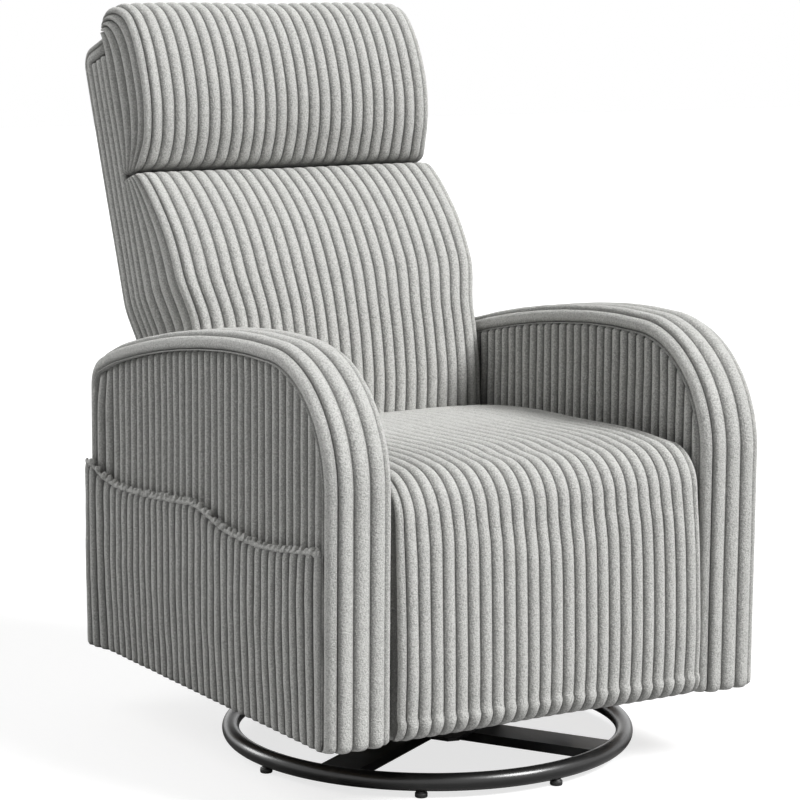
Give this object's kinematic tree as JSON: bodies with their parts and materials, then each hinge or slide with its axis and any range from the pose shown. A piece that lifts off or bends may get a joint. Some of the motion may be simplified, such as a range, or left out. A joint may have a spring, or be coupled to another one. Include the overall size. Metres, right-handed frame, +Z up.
{
  "type": "swivel glider recliner chair",
  "caption": "Padded recliner in wide-ribbed corduroy with curved arms, side pockets, reclining back and fold-out leg rest, on a swivelling, gliding round steel base.",
  "frame": {"origin": "middle of the chair's footprint, on the floor", "axes": "+Z up; the seat faces -Y; +X to the right as seen from in front"},
  "size_m": [0.726, 0.943, 1.0827],
  "materials": {
    "corduroy": "wide-wale plush corduroy, light warm grey",
    "webbing": "woven elastic strap",
    "foam": "foam and card infill",
    "board": "plain plywood",
    "black_steel": "black powder coat, satin gloss",
    "zinc_steel": "zinc-plated steel",
    "nylon": "natural nylon",
    "glide_plastic": "black moulded glide"
  },
  "bodies": {
    "base": {"base_ring": "black_steel", "long_cross_bar": "black_steel", "side_cross_bars": "black_steel", "base_plate": "black_steel", "base_plate_bolts": "zinc_steel", "thrust_ring": "nylon", "swivel_pin": "zinc_steel", "swivel_collar": "zinc_steel", "foot_glides": "glide_plastic"},
    "swivel": {"swivel_top_plate": "black_steel", "glider_cross_members": "black_steel", "top_plate_bolts": "zinc_steel", "glider_side_rails": "black_steel", "glider_uprights": "zinc_steel", "upper_swing_pins": "zinc_steel"},
    "front_swing": {"front_swing_links": "zinc_steel"},
    "rear_swing": {"rear_swing_links": "zinc_steel"},
    "carriage": {"glide_hangers": "zinc_steel", "lower_swing_pins": "zinc_steel", "hanger_rails": "zinc_steel", "carriage_channels": "zinc_steel", "mechanism_side_plates": "zinc_steel", "side_plate_bolts": "zinc_steel", "side_plate_rivets": "zinc_steel", "recline_pins": "zinc_steel", "seat_side_rails": "board", "seat_cross_rails": "board", "seat_webbing": "webbing", "seat_cushion": "corduroy", "lower_rear_panel": "corduroy", "arm_bands": "corduroy", "outer_panels": "corduroy", "inner_panels": "corduroy", "side_pockets": "corduroy", "pocket_hems": "corduroy", "pocket_base_strips": "corduroy", "arm_top_rails": "board", "arm_front_posts": "board", "arm_rear_posts": "board", "arm_floor_rails": "board", "arm_infills": "foam"},
    "back": {"back_cushion": "corduroy", "head_cushion": "corduroy", "back_outer_panel": "corduroy", "back_side_panels": "corduroy", "back_posts": "board", "back_rails": "board", "back_webbing": "webbing", "back_brackets": "zinc_steel"},
    "leg_rest": {"leg_rest_pad": "corduroy", "leg_rest_board": "board", "leg_rest_brackets": "zinc_steel", "rest_bracket_rivets": "zinc_steel"},
    "long_link": {"long_links": "zinc_steel", "torque_tube": "zinc_steel", "long_link_rivets": "zinc_steel"},
    "short_link": {"short_links": "zinc_steel", "short_link_rivets": "zinc_steel"},
    "coupler": {"coupler_links": "zinc_steel"},
    "upper_link": {"upper_links": "zinc_steel"}
  },
  "joints": [
    {"name": "swivel_turn", "type": "hinge", "parent": "base", "child": "swivel", "pos_m": [0, -0.13455, 0.045], "axis": [0, 0, 1], "continuous": true},
    {"name": "front_link_swing", "type": "hinge", "parent": "swivel", "child": "front_swing", "pos_m": [0, -0.25455, 0.262], "axis": [1, 0, 0], "range_deg": [-18, 18]},
    {"name": "rear_link_swing", "type": "hinge", "parent": "swivel", "child": "rear_swing", "pos_m": [0, -0.01455, 0.262], "axis": [1, 0, 0], "range_deg": [-18, 18]},
    {"name": "glide", "type": "hinge", "parent": "front_swing", "child": "carriage", "pos_m": [0, -0.25455, 0.152], "axis": [1, 0, 0], "range_deg": [-18, 18]},
    {"name": "recline", "type": "hinge", "parent": "carriage", "child": "back", "pos_m": [0, 0.09845, 0.4], "axis": [-1, 0, 0], "range_deg": [0, 30]},
    {"name": "leg_rest_lift", "type": "hinge", "parent": "carriage", "child": "leg_rest", "pos_m": [0, -0.43079, 0.44225], "axis": [-1, 0, 0], "range_deg": [0, 85]},
    {"name": "long_link_turn", "type": "hinge", "parent": "carriage", "child": "long_link", "pos_m": [0, -0.30079, 0.33725], "axis": [-1, 0, 0], "range_deg": [0, 85]},
    {"name": "short_link_turn", "type": "hinge", "parent": "carriage", "child": "short_link", "pos_m": [0, -0.24579, 0.33225], "axis": [-1, 0, 0], "range_deg": [0, 85]},
    {"name": "coupler_turn", "type": "hinge", "parent": "long_link", "child": "coupler", "pos_m": [0, -0.25279, 0.16225], "axis": [-1, 0, 0], "range_deg": [-85, 0]},
    {"name": "upper_link_turn", "type": "hinge", "parent": "long_link", "child": "upper_link", "pos_m": [0, -0.26579, 0.21025], "axis": [-1, 0, 0], "range_deg": [-85, 0]}
  ],
  "couplings": [
    {"joint": "front_link_swing", "follows": "glide", "ratio": -1},
    {"joint": "rear_link_swing", "follows": "glide", "ratio": -1},
    {"joint": "long_link_turn", "follows": "leg_rest_lift", "ratio": 1},
    {"joint": "short_link_turn", "follows": "leg_rest_lift", "ratio": 1},
    {"joint": "coupler_turn", "follows": "leg_rest_lift", "ratio": -1},
    {"joint": "upper_link_turn", "follows": "leg_rest_lift", "ratio": -1}
  ]
}
